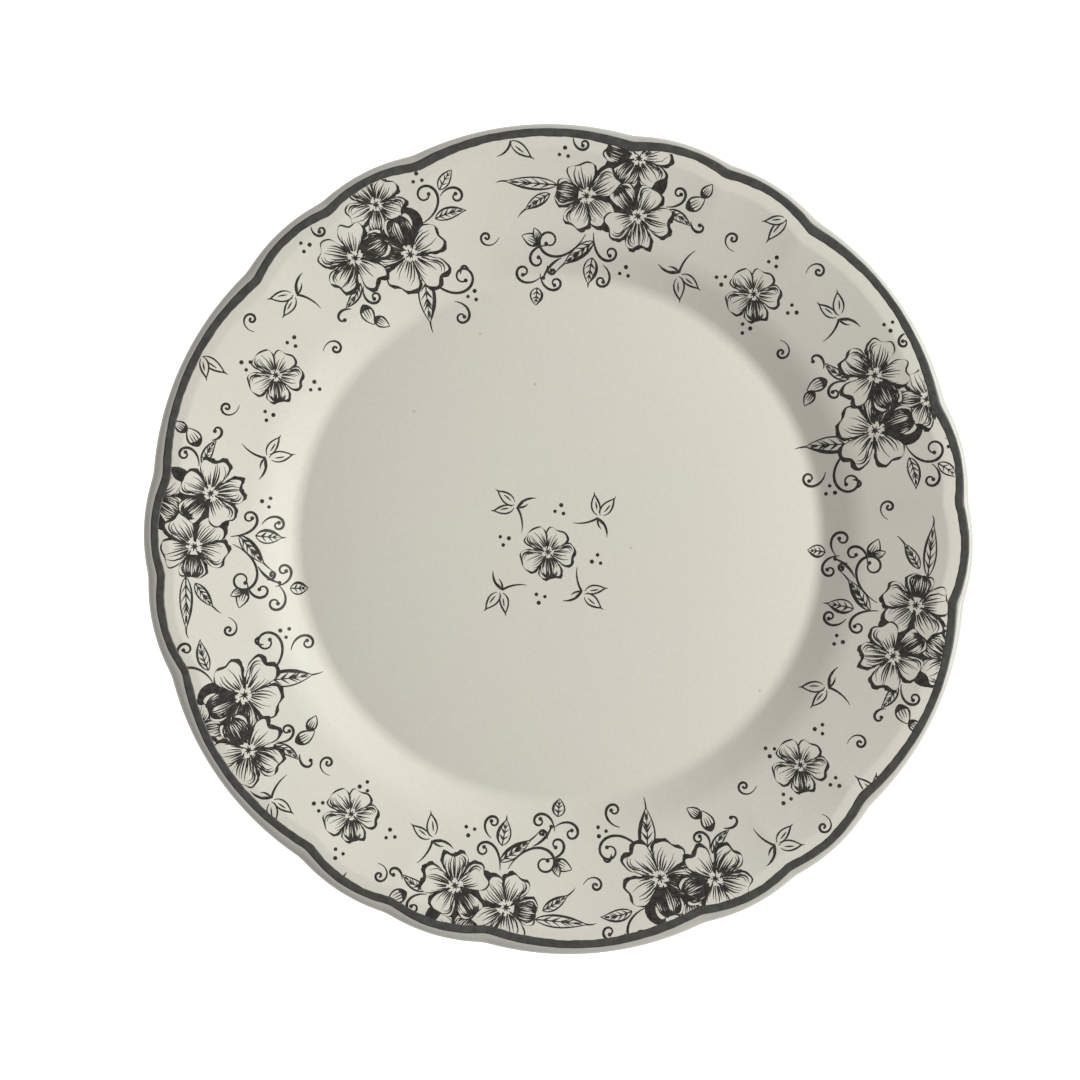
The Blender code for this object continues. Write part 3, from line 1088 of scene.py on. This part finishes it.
def mixed(nodes, links, factor, first, second, blend="MIX"):
    node = nodes.new("ShaderNodeMix")
    node.data_type = "RGBA"
    node.blend_type = blend
    if isinstance(factor, float):
        node.inputs["Factor"].default_value = factor
    else:
        links.new(factor, node.inputs["Factor"])
    for socket, value in ((node.inputs[6], first), (node.inputs[7], second)):
        if isinstance(value, tuple):
            socket.default_value = (*value, 1.0)
        else:
            links.new(value, socket)
    return node.outputs[2]


def bump(nodes, links, source, distance, strength):
    node = nodes.new("ShaderNodeBump")
    node.inputs["Distance"].default_value = distance
    node.inputs["Strength"].default_value = strength
    links.new(source, node.inputs["Height"])
    return node


def glaze_material(name, greener, pinker):
    """Warm ivory china under a clear glaze: broad green and pink drifts, and rare iron specks."""
    made, nodes, links, shader = node_material(name)
    drift = noise(nodes, links, 14.0, 1.0)
    body = ramp(nodes, links, drift, ((0.30, greener), (0.70, pinker)))
    fine = noise(nodes, links, 900.0, 2.0)
    grain = greys(nodes, links, fine, (0.35, 0.965), (0.65, 1.0))
    tinted = mixed(nodes, links, 1.0, body, grain, "MULTIPLY")
    place = nodes.new("ShaderNodeTexCoord")
    cells = nodes.new("ShaderNodeTexVoronoi")
    cells.inputs["Scale"].default_value = 45.0
    links.new(place.outputs["Object"], cells.inputs["Vector"])
    speck = greys(nodes, links, cells.outputs["Distance"], (0.012, 1.0), (0.022, 0.0))
    links.new(mixed(nodes, links, speck, tinted, IRON_SPECK), shader.inputs["Base Color"])
    glossy(nodes, links, shader, 0.16, 0.24)
    swell = bump(nodes, links, noise(nodes, links, 55.0, 1.0), 0.0004, 0.25)
    links.new(swell.outputs["Normal"], shader.inputs["Normal"])
    return made


def ink_material(name, scale, tones):
    """Underglaze colour: near black with a brown cast, thinner in places, under the same glaze."""
    made, nodes, links, shader = node_material(name)
    cloud = noise(nodes, links, scale, 3.0, 0.6)
    links.new(ramp(nodes, links, cloud, tones), shader.inputs["Base Color"])
    glossy(nodes, links, shader, 0.30, 0.40)
    return made


def biscuit_material():
    """The foot's bare tip: dry, slightly sandy and stained by shelves."""
    made, nodes, links, shader = node_material("bare_biscuit")
    patch = noise(nodes, links, 60.0, 3.0)
    tone = ramp(nodes, links, patch, BISCUIT)
    grit = noise(nodes, links, 2600.0, 2.0)
    dust = greys(nodes, links, grit, (0.40, 0.80), (0.60, 1.0))
    links.new(mixed(nodes, links, 1.0, tone, dust, "MULTIPLY"), shader.inputs["Base Color"])
    shader.inputs["Roughness"].default_value = 0.85
    links.new(bump(nodes, links, grit, 0.00008, 0.6).outputs["Normal"], shader.inputs["Normal"])
    return made


# ---------------------------------------------------------------- stage, light and camera


def floor():
    mesh = bpy.data.meshes.new("floor")
    side = FLOOR_SIDE
    corners = [(-side, -side, 0), (side, -side, 0), (side, side, 0), (-side, side, 0)]
    mesh.from_pydata(corners, [], [(0, 1, 2, 3)])
    made, nodes, links, shader = node_material("pale_floor")
    shade = greys(nodes, links, noise(nodes, links, 3.0), (0.3, 0.90), (0.7, 0.93))
    links.new(shade, shader.inputs["Base Color"])
    shader.inputs["Roughness"].default_value = 0.9
    shader.inputs["Emission Color"].default_value = (1.0, 1.0, 1.0, 1.0)
    shader.inputs["Emission Strength"].default_value = FLOOR_GLOW
    mesh.materials.append(made)
    ground = bpy.data.objects.new("floor", mesh)
    ground.location.z = -FLOOR_DROP
    bpy.context.scene.collection.objects.link(ground)


def key_light():
    """A softbox that faces the plate from the side. It casts no shadows."""
    light = bpy.data.lights.new("key", "AREA")
    light.shape = "RECTANGLE"
    light.size = KEY_WIDTH
    light.size_y = KEY_HEIGHT
    light.energy = KEY_POWER
    light.color = KEY_TINT
    light.use_shadow = False
    lamp = bpy.data.objects.new("key", light)
    bpy.context.scene.collection.objects.link(lamp)
    elevation = math.radians(KEY_ELEVATION)
    across = polar(KEY_AZIMUTH + VIEW_TURN, KEY_DISTANCE * math.cos(elevation))
    lamp.location = (across.real, across.imag, KEY_DISTANCE * math.sin(elevation))
    lamp.rotation_euler = (-lamp.location).to_track_quat("-Z", "Y").to_euler()


def world_light():
    world = bpy.data.worlds.new("studio")
    bpy.context.scene.world = world
    world.use_nodes = True
    background = world.node_tree.nodes["Background"]
    background.inputs["Color"].default_value = (1.0, 1.0, 1.0, 1.0)
    background.inputs["Strength"].default_value = WORLD_STRENGTH


def camera():
    lens = bpy.data.cameras.new("camera")
    lens.lens = LENS
    eye = bpy.data.objects.new("camera", lens)
    bpy.context.scene.collection.objects.link(eye)
    place = VIEW_SHIFT * polar(VIEW_TURN, 1.0)
    rim_height = CAD_BOX[1][2]
    distance = VIEW_WIDTH * LENS / lens.sensor_width
    eye.location = (place.real, place.imag, rim_height + distance)
    eye.rotation_euler = (0.0, 0.0, math.radians(VIEW_TURN))
    bpy.context.scene.camera = eye


def build():
    glaze = glaze_material("glazed_china", *FACE_GLAZE)
    # A darker copy of the glaze for the lip: painted shade on its rounded edge.
    shaded_lip_glaze = glaze_material("shaded_lip_glaze", *LIP_PAINTED_SHADE)
    ink = ink_material("underglaze_ink", 700.0, PRINT_INK)
    china = turned_plate(glaze, biscuit_material(), shaded_lip_glaze)
    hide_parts("china_body", "glaze_coat", "foot_recess_glaze")
    line = painted_line(ink_material("rim_line_paint", 420.0, LINE_PAINT))
    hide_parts("rim_line")
    pieces = [line]
    for k, laid in enumerate(QUARTERS, start=1):
        art = border(laid)
        if k == 1:
            art.add(rim_leaf(), 0j)
        pieces.append(ink_piece(f"border_print_{k}", art, ink))
    pieces.append(ink_piece("centre_print", centre(), ink))
    for piece in [china, *pieces]:
        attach(piece, "root")
    floor()
    world_light()
    key_light()
    camera()
    bpy.context.scene.view_settings.view_transform = "Standard"


build()
